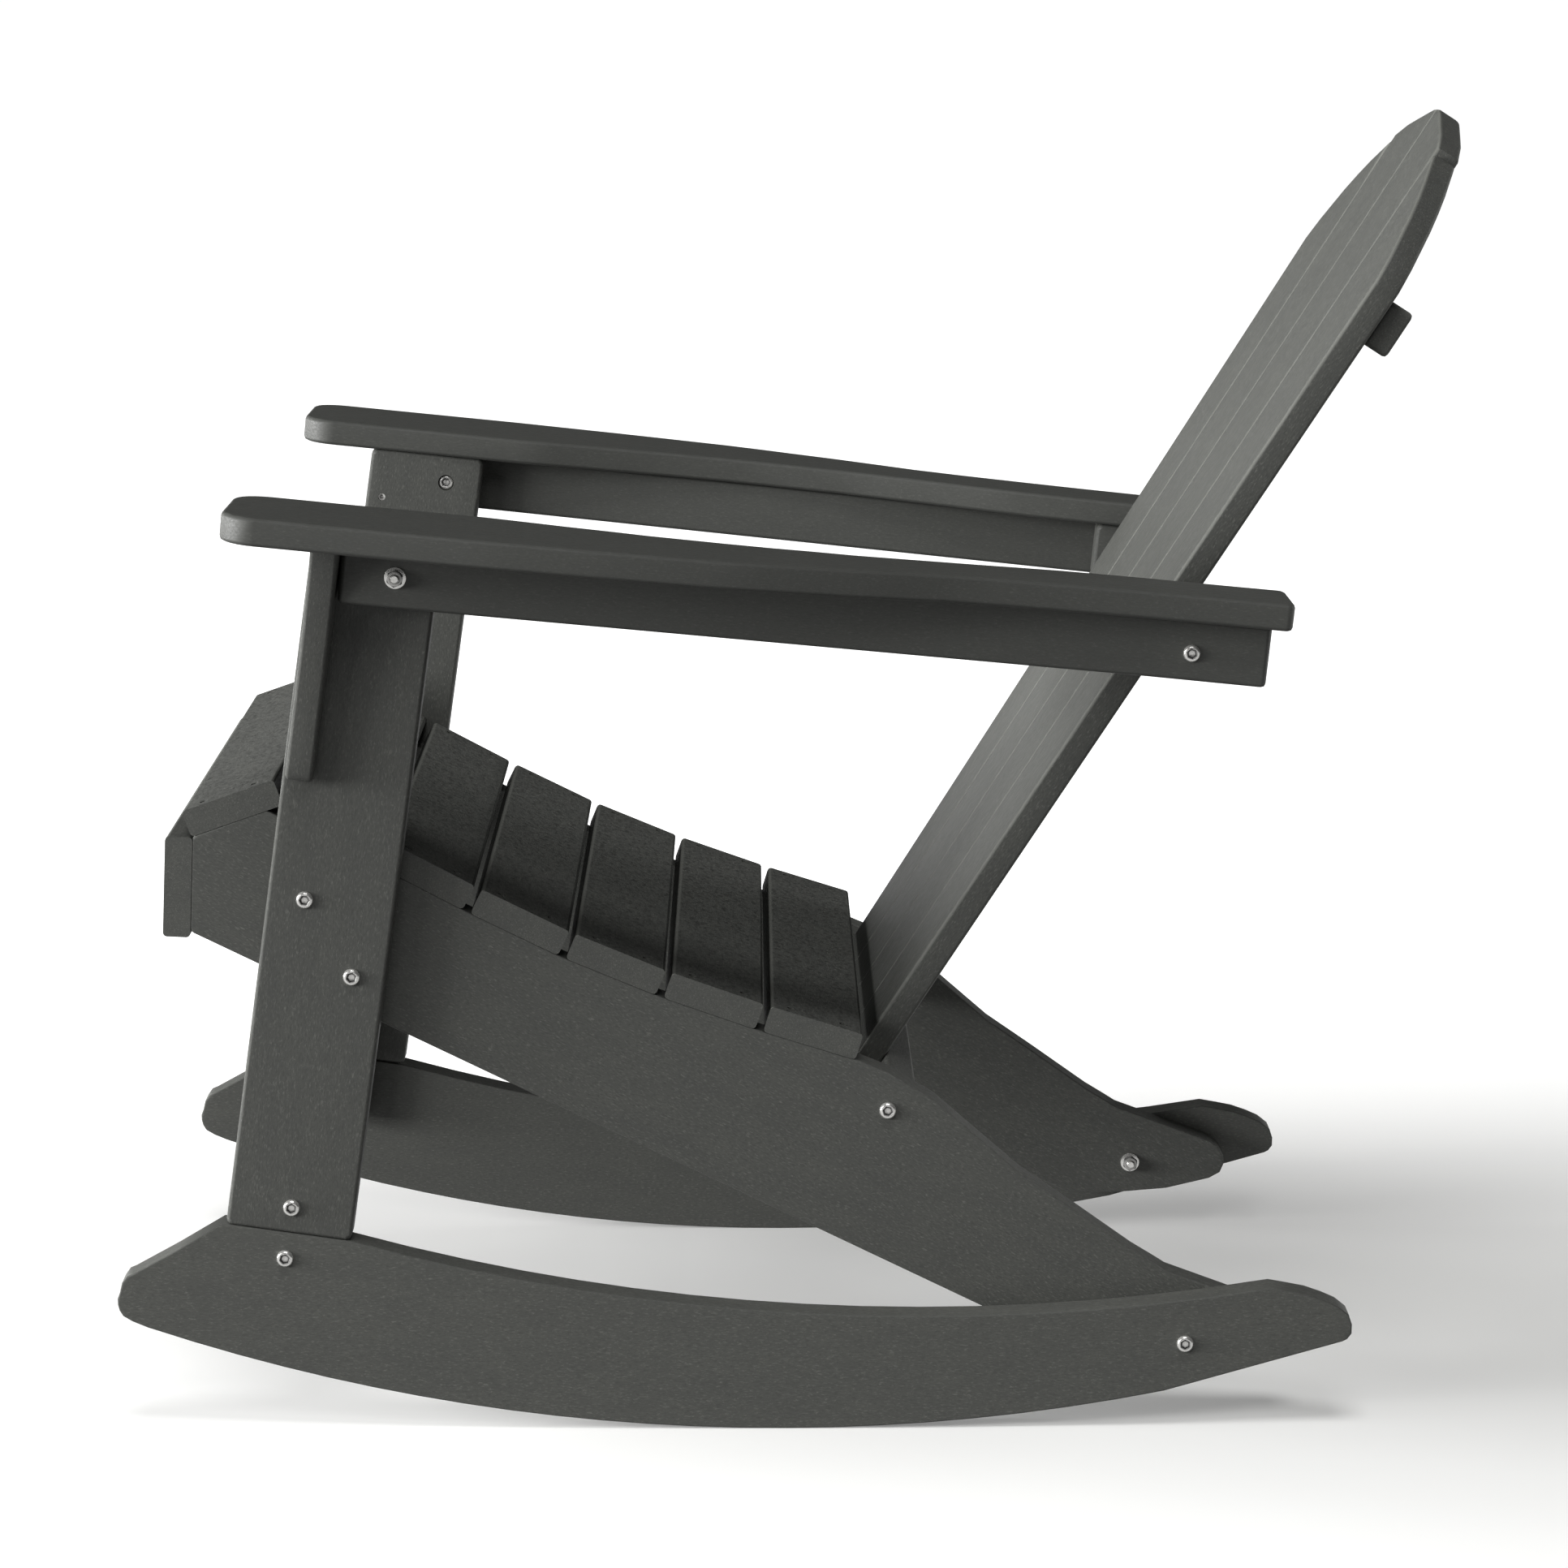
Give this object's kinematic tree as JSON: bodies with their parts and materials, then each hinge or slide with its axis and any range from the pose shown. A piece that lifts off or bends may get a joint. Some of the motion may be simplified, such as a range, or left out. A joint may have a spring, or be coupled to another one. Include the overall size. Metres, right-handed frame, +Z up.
{
  "type": "rocking adirondack chair",
  "caption": "Rocking adirondack chair of grained plastic boards, with a sloping slatted seat, a tall round-topped back, wide arms and curved rockers.",
  "frame": {"origin": "On the floor, below the middle of the chair's bounding box", "axes": "+Z up; +Y toward the rear of the chair, behind the back; +X toward the sitter's left hand, across the chair's mirror plane at X = 0"},
  "size_m": [0.752, 1.0326, 0.9819],
  "materials": {
    "plastic_board": "matte charcoal grey with a fine lengthwise grain",
    "stainless": "plain stainless steel"
  },
  "bodies": {
    "root": {"rocker_left": "plastic_board", "rocker_right": "plastic_board", "leg_left": "plastic_board", "leg_right": "plastic_board", "cleat_left": "plastic_board", "cleat_right": "plastic_board", "seat_side_left": "plastic_board", "seat_side_right": "plastic_board", "arm_left": "plastic_board", "arm_right": "plastic_board", "arm_rail_left": "plastic_board", "arm_rail_right": "plastic_board", "rail_block_left": "plastic_board", "rail_block_right": "plastic_board", "arm_bracket_left": "plastic_board", "arm_bracket_right": "plastic_board", "apron": "plastic_board", "seat_slat_1": "plastic_board", "seat_slat_2": "plastic_board", "seat_slat_3": "plastic_board", "seat_slat_4": "plastic_board", "seat_slat_5": "plastic_board", "seat_slat_6": "plastic_board", "seat_slat_7": "plastic_board", "lower_support": "plastic_board", "cross_brace": "plastic_board", "back_batten": "plastic_board", "back_slat_1": "plastic_board", "back_slat_2": "plastic_board", "back_slat_3": "plastic_board", "back_slat_4": "plastic_board", "frame_bolts": "stainless", "frame_washers": "stainless", "frame_nuts": "stainless", "end_bolts": "stainless", "rail_bolts": "stainless", "seat_screws": "stainless", "apron_screws": "stainless", "bracket_screws": "stainless", "back_screws": "stainless", "batten_screws": "stainless", "arm_screws": "stainless"}
  },
  "joints": []
}
